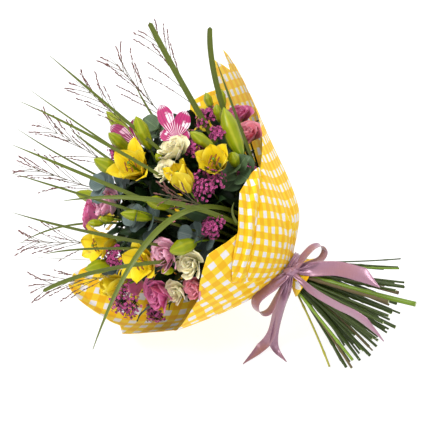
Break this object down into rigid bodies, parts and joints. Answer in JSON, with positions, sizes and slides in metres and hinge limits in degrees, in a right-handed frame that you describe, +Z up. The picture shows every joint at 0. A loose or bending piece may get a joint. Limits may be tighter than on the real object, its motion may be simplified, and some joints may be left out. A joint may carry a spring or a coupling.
{
  "type": "mixed flower bouquet",
  "caption": "Hand-tied mixed bouquet of lilies, lisianthus, sea lavender and grasses in a gingham wrap with a satin ribbon, lying on its side.",
  "frame": {"origin": "on the table, below the middle of the bouquet's box", "axes": "+X towards the cut stems, +Z up, -Y towards the side that shows the ribbon knot"},
  "size_m": [0.7318, 0.6576, 0.5665],
  "materials": {
    "stem": "satin green stems and grass",
    "wrap": "yellow and white woven gingham",
    "ribbon": "mauve satin",
    "lily_tepal": "satin yellow petals",
    "pink_petal": "matt pink petals",
    "cream_petal": "matt cream petals",
    "lavender_floret": "matt purple florets",
    "eucalyptus_leaf": "matt grey-green leaves",
    "grass_panicle": "dry reddish-brown seed heads",
    "butterfly_wing": "printed wings"
  },
  "bodies": {
    "root": {"butterfly_1": "butterfly_wing", "butterfly_2": "butterfly_wing", "cream_lisianthus_1": "cream_petal", "cream_lisianthus_2": "cream_petal", "cream_lisianthus_3": "cream_petal", "cream_lisianthus_4": "cream_petal", "cream_lisianthus_5": "cream_petal", "cream_lisianthus_6": "cream_petal", "eucalyptus_1": "eucalyptus_leaf", "eucalyptus_2": "eucalyptus_leaf", "eucalyptus_3": "eucalyptus_leaf", "eucalyptus_4": "eucalyptus_leaf", "eucalyptus_5": "eucalyptus_leaf", "eucalyptus_6": "eucalyptus_leaf", "eucalyptus_7": "eucalyptus_leaf", "eucalyptus_8": "eucalyptus_leaf", "eucalyptus_9": "eucalyptus_leaf", "lily_1": "lily_tepal", "lily_2": "lily_tepal", "lily_3": "lily_tepal", "lily_4": "lily_tepal", "lily_5": "lily_tepal", "lily_6": "lily_tepal", "lily_7": "lily_tepal", "lily_8": "lily_tepal", "lily_9": "lily_tepal", "panicle_1": "grass_panicle", "panicle_2": "grass_panicle", "panicle_3": "grass_panicle", "panicle_4": "grass_panicle", "panicle_5": "grass_panicle", "panicle_6": "grass_panicle", "panicle_7": "grass_panicle", "panicle_8": "grass_panicle", "pink_lisianthus_1": "pink_petal", "pink_lisianthus_10": "pink_petal", "pink_lisianthus_2": "pink_petal", "pink_lisianthus_3": "pink_petal", "pink_lisianthus_4": "pink_petal", "pink_lisianthus_5": "pink_petal", "pink_lisianthus_6": "pink_petal", "pink_lisianthus_7": "pink_petal", "pink_lisianthus_8": "pink_petal", "pink_lisianthus_9": "pink_petal", "ribbon_band": "ribbon", "ribbon_bow": "ribbon", "sea_lavender_1": "lavender_floret", "sea_lavender_10": "lavender_floret", "sea_lavender_11": "lavender_floret", "sea_lavender_12": "lavender_floret", "sea_lavender_2": "lavender_floret", "sea_lavender_3": "lavender_floret", "sea_lavender_4": "lavender_floret", "sea_lavender_5": "lavender_floret", "sea_lavender_6": "lavender_floret", "sea_lavender_7": "lavender_floret", "sea_lavender_8": "lavender_floret", "sea_lavender_9": "lavender_floret", "stems_and_blades": "stem", "wrap": "wrap"}
  },
  "joints": []
}
